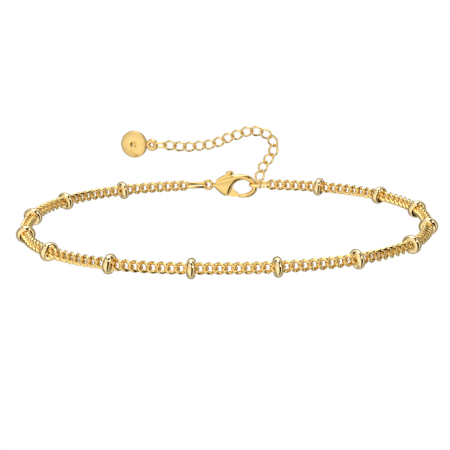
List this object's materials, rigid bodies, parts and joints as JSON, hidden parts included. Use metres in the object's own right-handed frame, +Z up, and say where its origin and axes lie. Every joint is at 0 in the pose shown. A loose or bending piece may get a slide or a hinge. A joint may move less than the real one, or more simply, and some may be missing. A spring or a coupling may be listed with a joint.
{
  "type": "chain anklet",
  "caption": "Gold-plated curb chain anklet with spaced domed beads, a sprung lobster clasp, a fine extension chain and a round domed tag, held in its worn oval.",
  "frame": {"origin": "the centre of the loop, where the ankle's axis passes through the plane of the chain", "axes": "+Z runs up along the ankle, the front of the loop is on the -Y side, the clasp is at the back on the +Y side, +X is the loop's long way and the viewer's right"},
  "size_m": [0.0769, 0.0712, 0.015],
  "materials": {
    "polished_gold": "polished gold plate on round brass wire",
    "mirror_gold": "mirror-polished gold plate on pressed brass beads",
    "satin_gold": "satin gold plate on cast brass"
  },
  "bodies": {
    "anklet": {"bead_01": "mirror_gold", "bead_02": "mirror_gold", "bead_03": "mirror_gold", "bead_04": "mirror_gold", "bead_05": "mirror_gold", "bead_06": "mirror_gold", "bead_07": "mirror_gold", "bead_08": "mirror_gold", "bead_09": "mirror_gold", "bead_10": "mirror_gold", "bead_11": "mirror_gold", "bead_12": "mirror_gold", "bead_13": "mirror_gold", "bead_14": "mirror_gold", "chain_left": "polished_gold", "chain_right": "polished_gold", "end_link_left": "polished_gold", "end_link_right": "polished_gold", "clasp_body": "satin_gold", "extension_ring": "polished_gold", "extension_chain": "polished_gold", "tag_link": "polished_gold", "tag_disc": "satin_gold"},
    "lever": {"clasp_lever": "satin_gold"}
  },
  "joints": [
    {"name": "lever_hinge", "type": "hinge", "parent": "anklet", "child": "lever", "pos_m": [-0.0012, 0.0341, 0.00008], "axis": [0, -1, 0], "range_deg": [0, 25], "stiffness_Nm_per_rad": 0.004, "springref_deg": -11.46}
  ]
}
